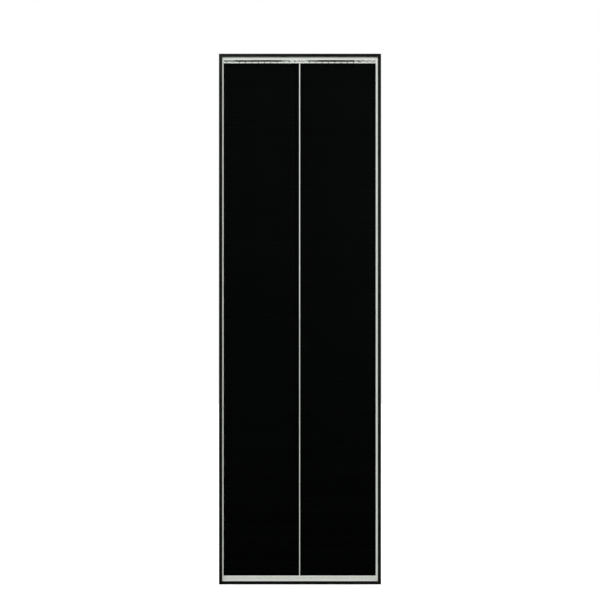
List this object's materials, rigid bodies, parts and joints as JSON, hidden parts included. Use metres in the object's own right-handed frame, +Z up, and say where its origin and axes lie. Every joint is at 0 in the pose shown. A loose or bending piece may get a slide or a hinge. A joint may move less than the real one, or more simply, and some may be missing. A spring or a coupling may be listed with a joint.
{
  "type": "framed solar module",
  "caption": "Slim upright solar module: black frame, toughened glass over two columns of overlapping cells, rear junction box with hinged lid and two plug-ended leads.",
  "frame": {"origin": "middle of the bottom edge, halfway through the frame's depth", "axes": "+Z up the length of the module, +Y out of its back, +X to the right as its glass is looked at"},
  "size_m": [0.45, 0.03, 1.473],
  "materials": {
    "black_anodised": "black anodised, fine satin",
    "mill_aluminium": "as extruded",
    "sealant": "cured silicone",
    "toughened_glass": "low-iron, lightly textured",
    "encapsulant": "clear film",
    "silicon_cell": "near-black anti-reflection coat, satin",
    "conductive_adhesive": "silver-filled paste",
    "tinned_ribbon": "tinned copper strip",
    "insulating_film": "white film",
    "white_backsheet": "semi-matt laminated film",
    "label_film": "satin silver film, blank",
    "moulded_black": "fine spark-eroded moulding texture",
    "grey_rubber": "moulded silicone rubber",
    "red_rubber": "moulded O-ring",
    "steel": "plated",
    "tinned_copper": "tin plated",
    "bare_copper": "stranded",
    "diode_epoxy": "moulded epoxy",
    "cable_jacket": "extruded, slightly satin"
  },
  "bodies": {
    "module": {"frame_rail_left": "black_anodised", "frame_rail_right": "black_anodised", "frame_rail_top": "black_anodised", "frame_rail_bottom": "black_anodised", "corner_keys": "mill_aluminium", "edge_seal": "sealant", "front_glass": "toughened_glass", "front_encapsulant": "encapsulant", "cell_column_left": "silicon_cell", "cell_column_right": "silicon_cell", "strip_adhesive": "conductive_adhesive", "bus_ribbon_top": "tinned_ribbon", "bus_ribbon_bottom": "tinned_ribbon", "return_ribbons": "tinned_ribbon", "ribbon_insulators": "insulating_film", "rear_encapsulant": "encapsulant", "backsheet": "white_backsheet", "rating_label": "label_film", "junction_box_pad": "sealant", "junction_box_base": "moulded_black", "junction_box_gasket": "grey_rubber", "lid_hinge_pins": "steel", "terminal_rails": "tinned_copper", "ribbon_clips": "steel", "bypass_diodes": "diode_epoxy", "cable_clamps": "steel", "gland_seals": "grey_rubber", "gland_nuts": "moulded_black", "cable_tails": "cable_jacket", "cable_tail_cores": "bare_copper"},
    "box_lid": {"junction_box_lid": "moulded_black"},
    "positive_lead": {"positive_cable": "cable_jacket", "positive_core": "bare_copper", "positive_cap_nut": "moulded_black", "positive_gland_insert": "grey_rubber", "positive_housing": "moulded_black", "positive_pin": "tinned_copper"},
    "negative_lead": {"negative_cable": "cable_jacket", "negative_core": "bare_copper", "negative_cap_nut": "moulded_black", "negative_gland_insert": "grey_rubber", "negative_housing": "moulded_black", "negative_socket": "tinned_copper", "negative_nose_seal": "red_rubber"}
  },
  "joints": [
    {"name": "lid_hinge", "type": "hinge", "parent": "module", "child": "box_lid", "pos_m": [0, 0.01043, 1.41425], "axis": [1, 0, 0], "range_deg": [0, 115]},
    {"name": "positive_lead_swing", "type": "hinge", "parent": "module", "child": "positive_lead", "pos_m": [-0.03, 0.00223, 1.2853], "axis": [1, 0, 0], "range_deg": [0, 70]},
    {"name": "negative_lead_swing", "type": "hinge", "parent": "module", "child": "negative_lead", "pos_m": [0.03, 0.00223, 1.2853], "axis": [1, 0, 0], "range_deg": [0, 70]}
  ]
}
